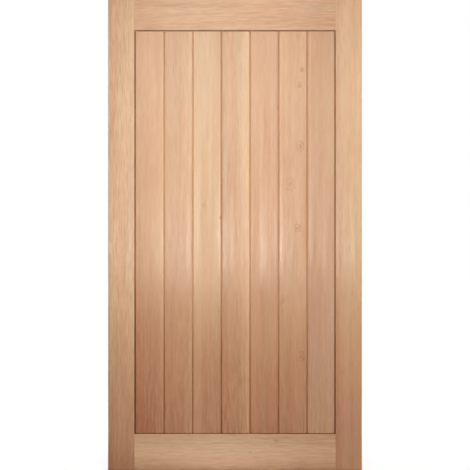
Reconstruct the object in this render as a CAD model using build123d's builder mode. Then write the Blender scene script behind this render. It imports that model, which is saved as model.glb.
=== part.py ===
"""A boarded timber entrance door leaf: two stiles and two rails, mortised, tenoned and wedged together,
with vertical V-jointed tongue and groove boards let into rebates on both faces of a thin core panel.

X runs across the leaf from the hinge edge, Y through its thickness with the front face at -Y, and Z up.
The origin is on the hinge edge, at the foot of the leaf and in the middle of its thickness.
All sizes are in millimetres."""

from build123d import *
import os

# The leaf and its frame
leaf_width = 1100.0
leaf_height = 2040.0
leaf_thickness = 44.0
stile_width = 114.0
top_rail_depth = 132.0
bottom_rail_depth = 158.0
outer_arris = 1.5  # rounding of the leaf's outer corners
inner_arris = 0.5  # rounding of the frame's corners round the boards
shoulder_gap = 0.15  # hairline between a rail's shoulder and the stile

# The tongue left between the two rebates, which the boards and the core panel lie against
rebate_width = 14.0
rebate_corner_gap = 0.3  # where a rail's tongue meets a stile's
board_recess = 5.0  # how far the boards' faces lie behind the frame's

# The boards
board_count = 7
board_thickness = 12.0
first_board_extra = 3.1  # how much less the board by the hinge edge is trimmed than the one by the lock edge
edge_gap = 2.0  # between the outer boards and the stiles
head_gap = 6.0  # room for the boards to grow, below the top rail
foot_gap = 2.5  # between the boards and the bottom rail
joint_gap = 0.4  # between one board's shoulder and the next
v_leg = 4.0  # each side of a V joint, across and deep
v_land = 1.0  # from the foot of the V down to the tongue
tongue_thickness = 3.5
tongue_length = 6.0
tongue_clearance = 0.2  # on each face of a board's tongue
groove_spare = 0.5  # beyond the tongue's tip
board_arris = 0.6  # rounding where a V meets the board's face

# The core panel between the two layers of boards
core_gap = 0.5

# The joints between rails and stiles
tenon_thickness = 14.0
mortise_clearance = 0.15
haunch_depth = 15.0
top_haunch = 50.0  # from the leaf's top down to the top tenon
foot_haunch = 32.0  # from the leaf's foot up to the lower of the bottom rail's tenons
foot_tenon = 44.0  # width of each of the bottom rail's two tenons
wedge_mouth = 6.0  # how far a mortise flares at the stile's outer edge
flare_length = 90.0
wedge_length = 75.0

# Places worked out from the sizes above
board_face = leaf_thickness / 2 - board_recess
board_back = board_face - board_thickness
core_thickness = 2 * board_back
opening_foot = bottom_rail_depth
opening_head = leaf_height - top_rail_depth
opening_width = leaf_width - 2 * stile_width
opening_height = opening_head - opening_foot
mortise_thickness = tenon_thickness + 2 * mortise_clearance
middle_of_width = Plane.YZ.offset(leaf_width / 2)

# Lower and upper edge of each tenon
top_tenons = [(opening_head, leaf_height - top_haunch)]
foot_tenons = [(foot_haunch, foot_haunch + foot_tenon), (opening_foot - foot_tenon, opening_foot)]

os.makedirs("parts", exist_ok=True)


def write(part, label):
    """Labels a finished piece and writes it to its own file."""
    part.label = label
    export_step(part, f"parts/{label}.step")


def lies_at(edge, axis, places):
    """Whether an edge's middle is at one of these places along an axis, given as X, Y or Z."""
    return any(abs(getattr(edge.center(), axis) - place) < 0.01 for place in places)


# Stiles: a tongue along the opening, through mortises that flare towards the outer edge, and haunches
with BuildPart() as left_stile:
    with BuildSketch(Plane.XY):
        with Locations((stile_width / 2, 0)):
            Rectangle(stile_width, leaf_thickness)
    extrude(amount=leaf_height)
    blank = left_stile.edges()
    faces_out = (-leaf_thickness / 2, leaf_thickness / 2)
    hinge_edges = [edge for edge in blank if lies_at(edge, "X", (0,))]
    end_edges = [
        edge
        for edge in blank.filter_by(Axis.X)
        if lies_at(edge, "Y", faces_out) and lies_at(edge, "Z", (0, leaf_height))
    ]
    fillet(hinge_edges + end_edges, radius=outer_arris)
    fillet(left_stile.edges().filter_by(Axis.Z).group_by(Axis.X)[-1], radius=inner_arris)
    with BuildSketch(Plane.XY.offset(opening_foot)):
        with Locations((stile_width + rebate_width / 2, 0)):
            Rectangle(rebate_width, core_thickness)
    extrude(amount=opening_height)
    for low, high in top_tenons + foot_tenons:
        with BuildSketch(Plane.XZ):
            with BuildLine():
                Polyline(
                    (0, low - wedge_mouth),
                    (flare_length, low),
                    (stile_width, low),
                    (stile_width, high),
                    (flare_length, high),
                    (0, high + wedge_mouth),
                    close=True,
                )
            make_face()
        extrude(amount=mortise_thickness / 2, both=True, mode=Mode.SUBTRACT)
    with BuildSketch(Plane.XZ):
        for foot, head in ((0, opening_foot), (opening_head, leaf_height)):
            with Locations((stile_width - haunch_depth / 2, (foot + head) / 2)):
                Rectangle(haunch_depth, head - foot)
    extrude(amount=mortise_thickness / 2, both=True, mode=Mode.SUBTRACT)
write(left_stile.part, "left_stile")

with BuildPart() as right_stile:
    mirror(left_stile.part, about=middle_of_width)
write(right_stile.part, "right_stile")

# Rails: each with its tongue along the opening, its tenons through both stiles, and its haunches
rails = [
    ("top_rail", opening_head, leaf_height, top_tenons, leaf_height, opening_head - rebate_width / 2),
    ("bottom_rail", 0, opening_foot, foot_tenons, 0, opening_foot + rebate_width / 2),
]
for label, foot, head, tenons, outer_side, tongue_middle in rails:
    rail_middle = (leaf_width / 2, (foot + head) / 2)
    haunched_width = opening_width + 2 * (haunch_depth - mortise_clearance)
    with BuildPart() as rail:
        with BuildSketch(Plane.XZ):
            with Locations(rail_middle):
                Rectangle(opening_width - 2 * shoulder_gap, head - foot)
        extrude(amount=leaf_thickness / 2, both=True)
        long_edges = rail.edges().filter_by(Axis.X)
        outer_edges = [edge for edge in long_edges if lies_at(edge, "Z", (outer_side,))]
        inner_edges = [edge for edge in long_edges if not lies_at(edge, "Z", (outer_side,))]
        fillet(outer_edges, radius=outer_arris)
        fillet(inner_edges, radius=inner_arris)
        with BuildSketch(Plane.XZ):
            with Locations((leaf_width / 2, tongue_middle)):
                Rectangle(opening_width - 2 * (rebate_width + rebate_corner_gap), rebate_width)
        extrude(amount=core_thickness / 2, both=True)
        with BuildSketch(Plane.XZ):
            with Locations(rail_middle):
                Rectangle(haunched_width, head - foot - 2 * mortise_clearance)
            for low, high in tenons:
                with Locations((leaf_width / 2, (low + high) / 2)):
                    Rectangle(leaf_width, high - low - 2 * mortise_clearance)
        extrude(amount=tenon_thickness / 2, both=True)
    write(rail.part, label)

# Wedges: a pair to each end of every tenon, driven in from the stile's outer edge
wedge_tip = wedge_mouth * (1 - wedge_length / flare_length)
tenon_names = {"top": top_tenons[0], "foot": foot_tenons[0], "middle": foot_tenons[1]}
for name, (low, high) in tenon_names.items():
    for side, edge_of_tenon, away in (("upper", high, 1), ("lower", low, -1)):
        seat = edge_of_tenon - away * mortise_clearance
        with BuildPart() as left_wedge:
            with BuildSketch(Plane.XZ):
                with BuildLine():
                    Polyline(
                        (0, seat),
                        (0, edge_of_tenon + away * wedge_mouth),
                        (wedge_length, edge_of_tenon + away * wedge_tip),
                        (wedge_length, seat),
                        close=True,
                    )
                make_face()
            extrude(amount=tenon_thickness / 2, both=True)
        write(left_wedge.part, f"left_{name}_wedge_{side}")
        with BuildPart() as right_wedge:
            mirror(left_wedge.part, about=middle_of_width)
        write(right_wedge.part, f"right_{name}_wedge_{side}")

# The core panel, held between the tongues of the stiles and rails
with BuildPart() as core_panel:
    with BuildSketch(Plane.XZ):
        with Locations((leaf_width / 2, (opening_foot + opening_head) / 2)):
            core_inset = rebate_width + core_gap
            Rectangle(opening_width - 2 * core_inset, opening_height - 2 * core_inset)
    extrude(amount=core_thickness / 2, both=True)
write(core_panel.part, "core_panel")

# Boards: a half V on each side of the face, a tongue to the next board and a groove for the last one's
board_pitch = (opening_width - 2 * edge_gap + joint_gap) / board_count
board_width = board_pitch - joint_gap
foot_of_v = board_face - v_leg
tongue_front = foot_of_v - v_land
tongue_back = tongue_front - tongue_thickness
for number in range(1, board_count + 1):
    left = stile_width + edge_gap + (number - 1) * board_pitch
    right = left + board_width
    if number > 1:
        left += first_board_extra
    if number < board_count:
        right += first_board_extra
    with BuildPart() as back_board:
        with BuildSketch(Plane.XY.offset(opening_foot + foot_gap)) as section:
            with BuildLine():
                Polyline(
                    (left, board_back),
                    (left, foot_of_v),
                    (left + v_leg, board_face),
                    (right - v_leg, board_face),
                    (right, foot_of_v),
                    (right, board_back),
                    close=True,
                )
            make_face()
            fillet(section.vertices().group_by(Axis.Y)[-1], radius=board_arris)
            tongue_middle = (tongue_front + tongue_back) / 2
            if number < board_count:
                with Locations((right + tongue_length / 2, tongue_middle)):
                    Rectangle(tongue_length, tongue_thickness)
            if number > 1:
                groove_depth = tongue_length - joint_gap + groove_spare
                with Locations((left + groove_depth / 2, tongue_middle)):
                    Rectangle(groove_depth, tongue_thickness + 2 * tongue_clearance, mode=Mode.SUBTRACT)
        extrude(amount=opening_height - head_gap - foot_gap)
    write(back_board.part, f"back_board_{number}")
    with BuildPart() as front_board:
        mirror(back_board.part, about=Plane.XZ)
    write(front_board.part, f"front_board_{number}")
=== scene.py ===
# Boarded timber entrance door leaf: the finish of every piece, the studio and the camera
import bpy
import math
import random
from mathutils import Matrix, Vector


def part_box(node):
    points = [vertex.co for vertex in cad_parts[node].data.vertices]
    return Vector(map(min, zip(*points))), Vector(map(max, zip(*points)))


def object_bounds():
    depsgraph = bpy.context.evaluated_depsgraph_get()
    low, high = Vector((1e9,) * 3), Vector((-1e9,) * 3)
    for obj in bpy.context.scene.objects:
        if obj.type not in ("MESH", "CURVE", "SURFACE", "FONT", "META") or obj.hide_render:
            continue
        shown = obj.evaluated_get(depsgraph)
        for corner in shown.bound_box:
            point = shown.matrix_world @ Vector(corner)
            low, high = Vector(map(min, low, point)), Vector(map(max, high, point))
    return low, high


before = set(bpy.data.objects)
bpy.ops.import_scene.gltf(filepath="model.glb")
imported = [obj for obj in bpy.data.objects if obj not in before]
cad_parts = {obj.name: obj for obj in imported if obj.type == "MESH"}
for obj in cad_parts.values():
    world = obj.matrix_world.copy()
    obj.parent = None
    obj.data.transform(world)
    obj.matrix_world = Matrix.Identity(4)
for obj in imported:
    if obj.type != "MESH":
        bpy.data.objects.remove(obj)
cadLow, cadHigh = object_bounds()
leafWidth = cadHigh.x - cadLow.x
leafHeight = cadHigh.z - cadLow.z
frontFace = cadLow.y
boardsLow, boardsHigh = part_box("front_board_1")
print("leaf loaded:", len(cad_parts), "pieces")


# Small tools for wiring materials

class GrainBench:
    # one material's node tree, with short calls to lay nodes out on it
    def __init__(self, name):
        self.material = bpy.data.materials.new(name)
        self.material.use_nodes = True
        self.tree = self.material.node_tree
        self.tree.nodes.clear()
        self.column = 0

    def node(self, kind, feeds=None, **settings):
        made = self.tree.nodes.new(kind)
        made.location = (self.column * 180, -(self.column % 5) * 160)
        self.column += 1
        for setting, value in settings.items():
            setattr(made, setting, value)
        for socket, value in (feeds or {}).items():
            self.feed(made.inputs[socket], value)
        return made

    def feed(self, socket, value):
        if isinstance(value, bpy.types.NodeSocket):
            self.tree.links.new(value, socket)
        else:
            socket.default_value = value

    def sum(self, operation, first, second=0.0, third=0.0, clamp=False):
        feeds = {0: first, 1: second, 2: third}
        return self.node("ShaderNodeMath", feeds, operation=operation, use_clamp=clamp).outputs[0]

    def mixTones(self, share, first, second, blend="MIX"):
        made = self.node("ShaderNodeMix", data_type="RGBA", blend_type=blend, clamp_factor=True)
        self.feed(made.inputs[0], share)
        self.feed(made.inputs[6], first)
        self.feed(made.inputs[7], second)
        return made.outputs[2]

    def ease(self, value, start, end, low=0.0, high=1.0):
        feeds = {0: value, 1: start, 2: end, 3: low, 4: high}
        made = self.node("ShaderNodeMapRange", feeds, interpolation_type="SMOOTHSTEP")
        return made.outputs[0]

    def ramp(self, value, start, end, low=0.0, high=1.0):
        return self.node("ShaderNodeMapRange", {0: value, 1: start, 2: end, 3: low, 4: high}).outputs[0]

    def bump(self, height, strength, distance):
        return self.node("ShaderNodeBump", {"Height": height, "Strength": strength, "Distance": distance})

    def apart(self, value, middle):
        return self.sum("ABSOLUTE", self.sum("SUBTRACT", value, middle))

    def distance(self, first, second):
        made = self.node("ShaderNodeVectorMath", {0: first, 1: second}, operation="DISTANCE")
        return made.outputs["Value"]

    def place(self, x, y, z):
        return self.node("ShaderNodeCombineXYZ", {0: x, 1: y, 2: z}).outputs[0]

    def cloud(self, where, scale=1.0, detail=2.0, rough=0.5):
        feeds = {"Vector": where, "Scale": scale, "Detail": detail, "Roughness": rough}
        return self.node("ShaderNodeTexNoise", feeds, noise_dimensions="3D").outputs[0]


# The timber

timber = {
    "paleTone": (0.795, 0.480, 0.264, 1.0),  # early wood, freshly sanded
    "deepTone": (0.332, 0.102, 0.034, 1.0),  # late wood and old colour
    "blush": (1.04, 0.955, 0.95, 1.0),
    "straw": (0.965, 1.05, 1.06, 1.0),
    "drift": 1.4,  # how far the tone drifts between blush and straw
    "broad": 0.40,  # how strongly each size of streak shows
    "medium": 0.36,
    "fleck": 0.48,
    "fine": 0.45,
    "lateWood": 0.13,
    "lateMean": 0.25,  # the mean of the rings' late wood
    "lateSharpness": 3.0,
    "ringsPerMetre": 430,
    "ringWaver": 2.5,  # how far the medium streaks push the rings aside
    "wander": 0.016,  # how far the rings stray along the grain, in metres
    "wanderScale": 3.0,  # how quickly they do so across the grain, and then along it
    "wanderAlong": 0.9,
    "through": 4.0,  # how quickly streaks change through the thickness
}
# each size of streak: how fine it is across the rings and along the grain, its detail, and how
# far along the tree it is taken from
streakSizes = {
    "broad": (11, 0.5, 2.0, 0),
    "medium": (70, 1.6, 3.0, 17),
    "fleck": (150, 14.0, 2.0, 61),
    "fine": (420, 9.0, 2.0, 31),
    "oil": (28, 1.1, 1.5, 83),
    "drift": (24, 1.3, 1.5, 47),
}


# how far a point stands from the heart of its tree, with rings that stray along the grain
def ringPlace(bench, piece, across, y, along, shift):
    waver = bench.cloud(
        bench.place(
            bench.sum("MULTIPLY", across, timber["wanderScale"]),
            bench.sum("MULTIPLY", y, timber["wanderScale"]),
            bench.sum("MULTIPLY_ADD", along, timber["wanderAlong"], shift),
        ),
        detail=1.5,
    )
    strayed = bench.sum("MULTIPLY", bench.sum("SUBTRACT", waver, 0.5), timber["wander"] * 2)
    heart = bench.place(*piece["heart"], 0.0)
    return bench.sum("ADD", bench.distance(bench.place(across, y, 0.0), heart), strayed)


def streak(bench, size, ring, y, along, shift, rough=0.6):
    acrossScale, alongScale, detail, offset = streakSizes[size]
    where = bench.place(
        bench.sum("MULTIPLY", ring, acrossScale),
        bench.sum("MULTIPLY", y, timber["through"]),
        bench.sum("MULTIPLY_ADD", along, alongScale, shift + offset),
    )
    return bench.sum("SUBTRACT", bench.cloud(where, detail=detail, rough=rough), 0.5)


# a setting that drifts from a piece's foot to its head, or holds all through
def drifting(bench, piece, setting, z):
    value = piece.get(setting, 1.0)
    if isinstance(value, tuple):
        return bench.ramp(z, *piece["drift"], *value)
    return value


# how deep the wood's colour is: streaks, rings, and the piece's own bands
def grainDepth(bench, piece, streaks, lateWood, across, along, z):
    small = 0.0
    for size in ("medium", "fleck", "fine"):
        small = bench.sum("MULTIPLY_ADD", streaks[size], timber[size], small)
    depth = bench.sum("MULTIPLY", streaks["broad"], timber["broad"] * piece.get("broad", 1.0))
    depth = bench.sum("MULTIPLY_ADD", small, drifting(bench, piece, "contrast", z), depth)
    late = bench.sum("SUBTRACT", lateWood, timber["lateMean"])
    depth = bench.sum("MULTIPLY_ADD", late, timber["lateWood"], depth)
    for line, middle, reach, change in piece.get("bands", ()):
        away = bench.apart(across if line == "across" else along, middle)
        depth = bench.sum("ADD", depth, bench.ease(away, 0.0, reach, change, 0.0))
    return bench.sum("ADD", depth, drifting(bench, piece, "depth", z), clamp=True)


# early and late wood, drifting between pink and yellow, with the piece's own blooms
def woodTone(bench, piece, depth, drift, along, z):
    colour = bench.mixTones(depth, timber["paleTone"], timber["deepTone"])
    yellow = bench.sum("MULTIPLY_ADD", drift, timber["drift"], drifting(bench, piece, "straw", z), clamp=True)
    tint = bench.mixTones(yellow, timber["blush"], timber["straw"])
    colour = bench.mixTones(1.0, colour, tint, "MULTIPLY")
    for middle, reach, tone in piece.get("blooms", ()):
        bloom = bench.ease(bench.apart(along, middle), reach, 0.0)
        colour = bench.mixTones(bloom, colour, tone, "MULTIPLY")
    return colour


# Knots, each with a soft core and a thin rim

knot = {
    "tone": (0.74, 0.58, 0.44, 1.0),
    "reach": 2.6,  # how far it bends the grain, in its own radii
    "bulge": 0.010,
    "flatness": 0.7,  # under 1, a knot is longer along the grain
    "ragged": 1.6,  # how uneven its outline is, and how finely
    "raggedScale": 130,
    "coreEdge": 0.8,  # in its own radii
    "coreMiddle": 0.2,
    "fullCore": 0.011,  # a knot larger than this has a paler core
    "rimWidth": 0.003,
    "rimStrength": 0.9,
}


# the rings swell round each knot, and its core and rim are marked
def setKnots(bench, piece, ring, across, along):
    if not piece.get("knots"):
        return ring, 0.0
    spot = bench.place(across, bench.sum("MULTIPLY", along, knot["flatness"]), 0.0)
    uneven = bench.sum("SUBTRACT", bench.cloud(spot, scale=knot["raggedScale"], detail=2.0, rough=0.6), 0.5)
    mark = 0.0
    for knotAcross, knotAlong, size, strength in piece["knots"]:
        middle = bench.place(knotAcross, knotAlong * knot["flatness"], 0.0)
        away = bench.sum("MULTIPLY_ADD", uneven, size * knot["ragged"], bench.distance(spot, middle))
        swell = bench.ease(away, size * knot["reach"], 0.0)
        ring = bench.sum("MULTIPLY_ADD", swell, knot["bulge"] * strength, ring)
        coreStrength = strength * min(1.0, knot["fullCore"] / size)
        core = bench.ease(away, size * knot["coreEdge"], size * knot["coreMiddle"], 0.0, coreStrength)
        rim = bench.ease(bench.apart(away, size), knot["rimWidth"], 0.0, 0.0, strength * knot["rimStrength"])
        mark = bench.sum("MAXIMUM", mark, bench.sum("MAXIMUM", core, rim))
    return ring, mark


# End grain, where a face looks along the grain

endGrain = {"tone": (0.80, 0.72, 0.66, 1.0), "lateWood": 0.8, "facing": (0.55, 0.85)}


def endGrainTone(bench, colour, spot, lateWood, upright):
    facing = bench.node("ShaderNodeSeparateXYZ", {0: spot.outputs["Normal"]})
    alongNormal = facing.outputs[2] if upright else facing.outputs[0]
    cutEnd = bench.ease(bench.sum("ABSOLUTE", alongNormal), *endGrain["facing"])
    late = bench.sum("MULTIPLY", lateWood, endGrain["lateWood"])
    endColour = bench.mixTones(late, colour, endGrain["tone"], "MULTIPLY")
    endColour = bench.mixTones(1.0, endColour, endGrain["tone"], "MULTIPLY")
    return bench.mixTones(cutEnd, colour, endColour), cutEnd


# Painted light and shade in the joints, paler halfway up and darker by the foot, and painted shade in the
# gaps round the boards

joint = {
    "reach": 0.010,  # how near one another a joint's faces are
    "open": (0.95, 0.45),  # how open it is at its edge and at its bottom
    "paintedLightAndShade": (1.08, 1.28, 1.46, 1.0),  # painted light halfway up
    "paintedHeadTone": (0.92, 1.08, 1.20, 1.0),
    "paintedHeadHeights": (1.55, 1.85),
    "paintedJointShade": (0.57, 0.43, 0.22, 1.0),  # and painted shade by the foot
    "paintedShadeHeights": (0.85, 0.50),
    "gapOpen": (0.50, 0.20),
    "gapShade": (0.62, 0.33, 0.05, 1.0),
    "gapFades": (0.70, 1.00),  # between these heights the shade falls to half
    "gapFoot": 0.50,
    "gapEnds": 0.3,  # how much of it falls at the boards' ends, where the lamps reach further in
    "endReach": 0.010,
}


def jointTone(bench, colour, z):
    faces = bench.node("ShaderNodeAmbientOcclusion", {"Distance": joint["reach"]}, samples=8)
    openness = faces.outputs["AO"]
    shaded = bench.ease(openness, *joint["open"])
    paintedLightAndShade = bench.mixTones(bench.ramp(z, *joint["paintedHeadHeights"]), joint["paintedLightAndShade"], joint["paintedHeadTone"])
    paintedLightAndShade = bench.mixTones(bench.ramp(z, *joint["paintedShadeHeights"]), paintedLightAndShade, joint["paintedJointShade"])
    # painted light and shade laid into the joints' recesses, set by how open they are and how high
    colour = bench.mixTones(shaded, colour, paintedLightAndShade, "MULTIPLY")
    # painted shade in the gaps round the boards, less at the boards' ends
    atFoot = bench.ramp(z, boardsLow.z + joint["endReach"], boardsLow.z)
    atHead = bench.ramp(z, boardsHigh.z - joint["endReach"], boardsHigh.z)
    atEnds = bench.ramp(bench.sum("MAXIMUM", atFoot, atHead), 0.0, 1.0, 1.0, joint["gapEnds"])
    gapShare = bench.sum("MULTIPLY", bench.ramp(z, *joint["gapFades"], joint["gapFoot"], 1.0), atEnds)
    gap = bench.ease(openness, *joint["gapOpen"], 0.0, gapShare)
    return bench.mixTones(gap, colour, joint["gapShade"], "MULTIPLY"), shaded


# Arrises, a little paler with a painted highlight where their edges catch the light

arris = {"tone": (1.10, 1.12, 1.16, 1.0), "reach": 0.003, "paintedArrisHighlight": (0.9, 0.5)}


def arrisTone(bench, colour):
    edges = bench.node(
        "ShaderNodeAmbientOcclusion", {"Distance": arris["reach"]}, samples=8, inside=True, only_local=True
    )
    # painted highlight along the convex edges
    paintedArrisHighlight = bench.ease(edges.outputs["AO"], *arris["paintedArrisHighlight"])
    return bench.mixTones(paintedArrisHighlight, colour, arris["tone"], "MULTIPLY")


# The sheen of the oil, and the planed surface under it

sheen = {
    "roughness": 0.35,
    "fine": 0.35,  # how much rougher it is with fine and medium streaks, cut ends and joints
    "medium": 0.2,
    "cutEnd": 0.2,
    "joint": 0.65,
    "oil": 0.65,  # how unevenly the oil has dried, in streaks that fade between two heights
    "oilFades": (1.15, 1.60),
    "oilHead": 0.1625,
    "oilRails": 0.26,
    "overFibres": 0.6,  # how far the sheen spreads across the fibres
    "tone": (1.0, 0.96, 0.84, 1.0),
    "strength": 0.65,
}
surface = {
    "hollows": 0.002,  # how far the planed faces are from flat
    "hollowScale": 9.0,
    "hollowAlong": 0.35,
    "grain": 0.00012,
    "grainStrength": 0.6,
    "lateWood": -0.5,
}


def sheenRoughness(bench, streaks, cutEnd, shaded, upright, z):
    uneven = sheen["oilRails"]
    if upright:
        uneven = bench.ramp(z, *sheen["oilFades"], sheen["oil"], sheen["oilHead"])
    rough = bench.sum("MULTIPLY_ADD", streaks["fine"], sheen["fine"], sheen["roughness"])
    rough = bench.sum("MULTIPLY_ADD", streaks["medium"], sheen["medium"], rough)
    rough = bench.sum("MULTIPLY_ADD", streaks["oil"], uneven, rough)
    rough = bench.sum("MULTIPLY_ADD", cutEnd, sheen["cutEnd"], rough)
    return bench.sum("MULTIPLY_ADD", shaded, sheen["joint"], rough)


def planedSurface(bench, streaks, lateWood, across, y, along, shift):
    where = bench.place(across, y, bench.sum("MULTIPLY_ADD", along, surface["hollowAlong"], shift))
    hollows = bench.cloud(where, scale=surface["hollowScale"], detail=1.5)
    hollow = bench.bump(hollows, 1.0, surface["hollows"])
    fibres = bench.sum("MULTIPLY_ADD", lateWood, surface["lateWood"], streaks["fine"])
    raised = bench.bump(fibres, surface["grainStrength"], surface["grain"])
    bench.feed(raised.inputs["Normal"], hollow.outputs[0])
    return raised.outputs[0]


# the whole finish of one piece
def timberFinish(name, piece, seed):
    bench = GrainBench(name)
    upright = piece["grain"] == "up"
    spot = bench.node("ShaderNodeTexCoord")
    split = bench.node("ShaderNodeSeparateXYZ", {0: spot.outputs["Object"]})
    x, y, z = split.outputs
    across, along = (x, z) if upright else (z, x)
    shift = piece.get("cut", random.Random(seed).uniform(10, 90))
    ring = ringPlace(bench, piece, across, y, along, shift)
    ring, knotMark = setKnots(bench, piece, ring, across, along)

    sizes = ("broad", "medium", "fleck", "fine", "oil")
    streaks = {size: streak(bench, size, ring, y, along, shift) for size in sizes}
    drift = streak(bench, "drift", ring, y, along, shift, rough=0.5)
    rings = bench.sum("MULTIPLY", ring, timber["ringsPerMetre"])
    phase = bench.sum("MULTIPLY_ADD", streaks["medium"], timber["ringWaver"], rings)
    lateWood = bench.sum("POWER", bench.sum("FRACT", phase), timber["lateSharpness"])

    depth = grainDepth(bench, piece, streaks, lateWood, across, along, z)
    colour = woodTone(bench, piece, depth, drift, along, z)
    colour = bench.mixTones(knotMark, colour, knot["tone"], "MULTIPLY")
    colour, cutEnd = endGrainTone(bench, colour, spot, lateWood, upright)
    colour, shaded = jointTone(bench, colour, z)
    colour = arrisTone(bench, colour)

    wood = bench.node("ShaderNodeBsdfPrincipled")
    bench.feed(wood.inputs["Base Color"], colour)
    bench.feed(wood.inputs["Roughness"], sheenRoughness(bench, streaks, cutEnd, shaded, upright, z))
    bench.feed(wood.inputs["Normal"], planedSurface(bench, streaks, lateWood, across, y, along, shift))
    wood.inputs["Specular IOR Level"].default_value = sheen["strength"]
    wood.inputs["Specular Tint"].default_value = sheen["tone"]
    wood.inputs["Anisotropic"].default_value = sheen["overFibres"]
    overFibre = (1.0, 0.0, 0.0) if upright else (0.0, 0.0, 1.0)
    bench.feed(wood.inputs["Tangent"], bench.place(*overFibre))
    output = bench.node("ShaderNodeOutputMaterial")
    bench.feed(output.inputs["Surface"], wood.outputs[0])
    return bench.material


# The pieces. Each has the way its grain runs, the stretch of its tree that it was cut from, where that
# tree's heart lay, and how deep its colour is, how yellow and how streaky, all through or at its foot and
# head, drifting between two heights. Bands change the depth and blooms the tone: each has its middle, its
# reach and its change. A knot has its place across and along the grain, its radius and its strength.

stiles = {
    "left_stile": {
        "grain": "up", "cut": 163.9, "heart": (-0.45, 0.10),
        "drift": (0.0, 0.72), "depth": (0.78, 0.34), "straw": (0.75, 0.6), "contrast": (0.75, 1.5),
        "bands": [
            ("across", 0.0, 0.05, 0.12), ("across", 0.117, 0.05, -0.06),
            ("along", 0.0, 0.14, 0.07), ("along", 0.75, 0.55, -0.065), ("along", 1.52, 0.5, -0.06),
        ],
    },
    "right_stile": {
        "grain": "up", "cut": 142.9, "heart": (1.60, -0.12),
        "drift": (0.0, 0.85), "depth": (0.75, 0.31), "straw": (0.45, 0.65), "contrast": (0.45, 0.85),
        "bands": [
            ("across", 0.986, 0.04, 0.12), ("along", 0.0, 0.2, -0.14),
            ("along", 0.85, 0.35, 0.05), ("along", 1.66, 0.5, -0.06),
        ],
    },
}
rails = {
    "top_rail": {
        "grain": "across", "cut": 113.8, "heart": (2.50, 0.14),
        "depth": 0.45, "straw": 0.5, "broad": 0.4, "contrast": 1.2,
        "bands": [("along", 1.0, 0.5, 0.07), ("across", 1.985, 0.03, -0.04), ("across", 1.914, 0.02, 0.03)],
        "blooms": [(0.65, 0.4, (1.0, 0.975, 0.94, 1.0))],
        "knots": [(1.985, 0.355, 0.010, 0.15), (1.994, 0.862, 0.009, 0.15), (1.923, 0.909, 0.006, 0.3)],
    },
    "bottom_rail": {
        # its pale tone, whiter middle and deeper ends are partly the wood's own colour and partly a painted
        # sheen along its grain
        "grain": "across", "cut": 92.8, "heart": (-0.50, 0.20),
        "depth": 0.15, "straw": 0.8, "broad": 1.3, "contrast": 1.2,
        "bands": [
            ("along", 0.1, 0.40, 0.13), ("along", 1.0, 0.55, 0.25),
            # the first across band, deeper along the bottom edge, is painted shade by the floor
            ("across", 0.0, 0.045, 0.26), ("across", 0.040, 0.035, 0.06),
            ("across", 0.118, 0.012, 0.08), ("across", 0.158, 0.05, 0.16),
        ],
        "blooms": [(0.52, 0.65, (1.0, 1.005, 1.07, 1.0))],
        "knots": [(0.128, 0.728, 0.005, 0.7), (0.078, 0.615, 0.004, 0.6)],
    },
}
wedges = {"grain": "across", "depth": 0.75, "straw": 0.3, "heartBelow": 0.1, "heartIn": 0.05}
corePanel = {"grain": "up", "heart": (0.55, 0.4), "depth": 0.8, "straw": 0.5}

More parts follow.
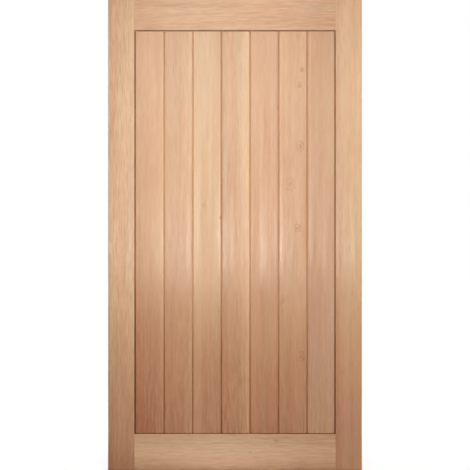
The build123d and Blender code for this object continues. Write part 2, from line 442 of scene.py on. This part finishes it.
# the seven boards from the hinge edge: those on the back take their tones from these in another order
boards = {
    "drift": (0.12, 0.88),
    "depths": [
        (0.94, 0.44), (0.81, 0.46), (0.79, 0.41), (0.77, 0.50), (0.81, 0.49), (0.80, 0.51), (0.60, 0.59),
    ],
    "straws": [(0.5, 0.4), (0.5, 0.5), (0.5, 0.85), (0.5, 0.6), (0.4, 0.35), (0.55, 0.4), (0.95, 0.5)],
    "contrasts": [(1.0, 0.6), (0.85, 0.6), (1.0, 0.5), (1.5, 0.6), (0.75, 0.4), (0.7, 0.55), (0.8, 0.42)],
    "broads": [1.0, 0.9, 0.65, 0.75, 0.5, 0.8, 1.0],
    "sides": [  # how much deeper each is by its left and right sides
        (0.06, -0.14), (0.02, -0.08), (-0.08, 0.02), (0.08, -0.20),
        (-0.02, 0.03), (-0.08, -0.035), (-0.02, -0.06),
    ],
    "sideReach": (0.06, 0.05),
    "tongue": 0.006,  # how far a board's tongue stands out
    "upperBand": ("along", 1.66, 0.42, -0.035),
    "middleBloom": (1.30, 0.40, (1.0, 0.995, 0.94, 1.0)),
    "hingeGapShade": (0.008, 0.34),  # painted shade on the boards beside the stiles' gaps: how wide, and how much deeper
    "lockGapShade": (0.008, 0.18),
    "heartAway": (0.16, 0.5),
    "heartIn": (-0.2, 0.2),
    "cuts": [55.6, 50.8, 62.2, 203.2, 76.9, 39.7, 132.1],
    "patches": {
        1: [("along", 0.60, 0.32, 0.08), ("along", 0.30, 0.25, 0.05), ("along", 1.05, 0.2, -0.03)],
        2: [("along", 0.87, 0.3, 0.03)],
        3: [("along", 0.86, 0.3, -0.05), ("along", 0.45, 0.25, 0.05)],
        4: [("along", 0.78, 0.3, -0.03), ("along", 1.20, 0.45, 0.045)],
        5: [("along", 1.35, 0.4, 0.03), ("along", 0.55, 0.2, -0.04), ("along", 0.85, 0.2, 0.03)],
        6: [("along", 1.33, 0.4, 0.05), ("along", 0.68, 0.3, -0.04)],
        7: [("along", 0.60, 0.4, -0.04)],
    },
    "blooms": {
        4: [(1.75, 0.5, (1.0, 1.0, 0.97, 1.0))], 5: [(1.75, 0.5, (1.0, 1.0, 0.96, 1.0))],
        6: [(1.75, 0.5, (1.0, 0.995, 0.95, 1.0))],
        7: [(0.52, 0.45, (0.98, 1.0, 1.15, 1.0)), (1.75, 0.5, (1.0, 1.0, 0.95, 1.0))],
    },
    "knots": {
        2: [(0.212, 1.287, 0.004, 0.5)],
        3: [(0.415, 1.150, 0.005, 0.6), (0.488, 1.096, 0.004, 1.0)],
        5: [(0.737, 1.570, 0.004, 1.0)],
        6: [
            (0.830, 1.883, 0.011, 0.45), (0.840, 1.736, 0.006, 0.9), (0.830, 1.670, 0.008, 1.0),
            (0.834, 1.405, 0.015, 0.9), (0.791, 1.241, 0.019, 0.75), (0.820, 1.050, 0.012, 0.95),
            (0.756, 0.738, 0.012, 0.8), (0.834, 0.492, 0.015, 0.8),
        ],
    },
}


def boardPieces(side, order, seed):
    chance = random.Random(seed)
    leftReach, rightReach = boards["sideReach"]
    pieces = {}
    for number, source in enumerate(order, 1):
        node = f"{side}_board_{number}"
        low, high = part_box(node)
        heartAway = chance.choice((-1, 1)) * chance.uniform(*boards["heartAway"])
        leftSide, rightSide = boards["sides"][source - 1]
        piece = {
            "grain": "up",
            "heart": ((low.x + high.x) / 2 + heartAway, chance.uniform(*boards["heartIn"])),
            "drift": boards["drift"],
            "depth": boards["depths"][source - 1],
            "straw": boards["straws"][source - 1],
            "contrast": boards["contrasts"][source - 1],
            "broad": boards["broads"][source - 1],
            "bands": [
                ("across", low.x, leftReach, leftSide),
                ("across", high.x - boards["tongue"], rightReach, rightSide),
                boards["upperBand"],
            ],
            "blooms": [boards["middleBloom"]] + boards["blooms"].get(source, []),
        }
        if number == 1:
            # painted shade on the outer boards beside the gaps by the stiles
            piece["bands"].append(("across", low.x, *boards["hingeGapShade"]))
        if number == len(order):
            piece["bands"].append(("across", high.x, *boards["lockGapShade"]))
        piece["bands"] += boards["patches"].get(source, [])
        if side == "front":
            piece["cut"] = boards["cuts"][number - 1]
            piece["knots"] = boards["knots"].get(number, ())
        pieces[node] = piece
    return pieces


def wedgePieces():
    pieces = {}
    for node in sorted(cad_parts):
        if "wedge" in node:
            low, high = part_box(node)
            pieces[node] = dict(wedges, heart=(low.z - wedges["heartBelow"], wedges["heartIn"]))
    return pieces


allPieces = {}
allPieces.update(stiles)
allPieces.update(rails)
allPieces.update(boardPieces("front", (1, 2, 3, 4, 5, 6, 7), 11))
allPieces.update(boardPieces("back", (4, 6, 2, 5, 3, 1, 7), 23))
allPieces.update(wedgePieces())
allPieces["core_panel"] = corePanel

for count, (node, piece) in enumerate(allPieces.items()):
    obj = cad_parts[node]
    finish = timberFinish("timber_" + node, piece, 100 + count)
    obj.data.materials.clear()
    obj.data.materials.append(finish)
print("timber finished:", len(allPieces), "pieces")


# The studio: a pale floor, soft lamps on every side and above, and a gentle fill from all round

studio = {
    "floorReach": 30.0,
    "floorTone": (0.55, 0.55, 0.55, 1.0),
    "floorRoughness": 0.9,
    "glowNear": 0.45,  # how white the floor glows by the leaf and further off
    "glowFar": 0.86,
    "glowReach": (0.3, 2.0),
    "skyFill": 0.19,
    "frontLamp": {"place": (0.55, -1.9, 1.6), "aim": (0.55, 0.0, 1.6), "size": (1.0, 1.46), "watts": 27.5},
    "overheadLamp": {"place": (0.55, -1.3, 3.4), "aim": (0.55, 0.0, 1.2), "size": (1.6, 0.6), "watts": 2},
    "stripLamp": {"place": (0.55, -2.0, 0.93), "aim": (0.55, 0.0, 0.93), "size": (1.5, 0.2), "watts": 4.4},
    "leftLamp": {"place": (-2.0, 0.0, 1.4), "aim": (0.0, 0.0, 1.2), "size": (0.12, 1.8), "watts": 20},
    "rightLamp": {"place": (3.1, 0.0, 1.4), "aim": (1.1, 0.0, 1.2), "size": (0.12, 1.8), "watts": 20},
    "topLamp": {"place": (0.55, 0.0, 4.0), "aim": (0.55, 0.0, 2.0), "size": (1.6, 0.12), "watts": 9},
    "backLamp": {"place": (0.55, 2.6, 1.7), "aim": (0.55, 0.0, 1.3), "size": (1.6, 1.4), "watts": 50},
}


def layFloor():
    mesh = bpy.data.meshes.new("studio_floor")
    reach = studio["floorReach"]
    corners = [(-reach, -reach, 0), (reach, -reach, 0), (reach, reach, 0), (-reach, reach, 0)]
    mesh.from_pydata(corners, [], [(0, 1, 2, 3)])
    floor = bpy.data.objects.new("studio_floor", mesh)
    bpy.context.scene.collection.objects.link(floor)
    bench = GrainBench("floor_paint")
    path = bench.node("ShaderNodeLightPath")
    seen = bench.sum("MAXIMUM", path.outputs["Is Camera Ray"], path.outputs["Is Glossy Ray"])
    spot = bench.node("ShaderNodeTexCoord")
    split = bench.node("ShaderNodeSeparateXYZ", {0: spot.outputs["Object"]})
    fromMiddle = bench.apart(split.outputs[0], leafWidth / 2)
    beside = bench.sum("MAXIMUM", bench.sum("SUBTRACT", fromMiddle, leafWidth / 2), 0.0)
    away = bench.distance(bench.place(beside, split.outputs[1], 0.0), (0.0, 0.0, 0.0))
    near, far = studio["glowReach"]
    glow = bench.sum("MULTIPLY", seen, bench.ease(away, near, far, studio["glowNear"], studio["glowFar"]))
    paint = bench.node("ShaderNodeBsdfPrincipled")
    paint.inputs["Base Color"].default_value = studio["floorTone"]
    paint.inputs["Roughness"].default_value = studio["floorRoughness"]
    paint.inputs["Emission Color"].default_value = (1.0, 1.0, 1.0, 1.0)
    bench.feed(paint.inputs["Emission Strength"], glow)
    output = bench.node("ShaderNodeOutputMaterial")
    bench.feed(output.inputs["Surface"], paint.outputs[0])
    mesh.materials.append(bench.material)


def hangLamp(name, lamp):
    light = bpy.data.lights.new(name, "AREA")
    light.shape = "RECTANGLE"
    light.size, light.size_y = lamp["size"]
    light.energy = lamp["watts"]
    obj = bpy.data.objects.new(name, light)
    obj.location = lamp["place"]
    facing = Vector(lamp["aim"]) - Vector(lamp["place"])
    obj.rotation_euler = facing.to_track_quat("-Z", "Y").to_euler()
    obj.visible_camera = False
    bpy.context.scene.collection.objects.link(obj)


def lightRoom():
    world = bpy.data.worlds.new("studio_air")
    world.use_nodes = True
    tree = world.node_tree
    tree.nodes.clear()
    path = tree.nodes.new("ShaderNodeLightPath")
    reflected = tree.nodes.new("ShaderNodeMath")
    reflected.operation = "MAXIMUM"
    tree.links.new(path.outputs["Is Glossy Ray"], reflected.inputs[0])
    tree.links.new(path.outputs["Is Transmission Ray"], reflected.inputs[1])
    seen = tree.nodes.new("ShaderNodeMath")
    seen.operation = "MAXIMUM"
    tree.links.new(path.outputs["Is Camera Ray"], seen.inputs[0])
    tree.links.new(reflected.outputs[0], seen.inputs[1])
    strength = tree.nodes.new("ShaderNodeMapRange")
    strength.inputs["To Min"].default_value = studio["skyFill"]
    strength.inputs["To Max"].default_value = 1.0
    tree.links.new(seen.outputs[0], strength.inputs["Value"])
    air = tree.nodes.new("ShaderNodeBackground")
    air.inputs["Color"].default_value = (1.0, 1.0, 1.0, 1.0)
    tree.links.new(strength.outputs[0], air.inputs["Strength"])
    output = tree.nodes.new("ShaderNodeOutputWorld")
    tree.links.new(air.outputs[0], output.inputs["Surface"])
    bpy.context.scene.world = world


layFloor()
for side in ("front", "overhead", "strip", "left", "right", "top", "back"):
    hangLamp(side + "_lamp", studio[side + "Lamp"])
lightRoom()
print("studio lit")


# The camera stands square in front, and the leaf fills its picture from top to bottom

camera = {"distance": 8.0, "sensor": 36.0, "heightShown": 0.998, "farthest": 200}


def setCamera():
    view = bpy.data.cameras.new("front_camera")
    view.sensor_width = camera["sensor"]
    view.lens = camera["sensor"] * camera["distance"] / (leafHeight * camera["heightShown"])
    view.clip_end = camera["farthest"]
    obj = bpy.data.objects.new("front_camera", view)
    middle = ((cadLow.x + cadHigh.x) / 2, (cadLow.z + cadHigh.z) / 2)
    obj.location = (middle[0], frontFace - camera["distance"], middle[1])
    obj.rotation_euler = (math.radians(90), 0, 0)
    bpy.context.scene.collection.objects.link(obj)
    bpy.context.scene.camera = obj


setCamera()
bpy.context.scene.view_settings.view_transform = "Standard"

print("leaf dressed:", round(leafWidth, 3), "by", round(leafHeight, 3), "metres")
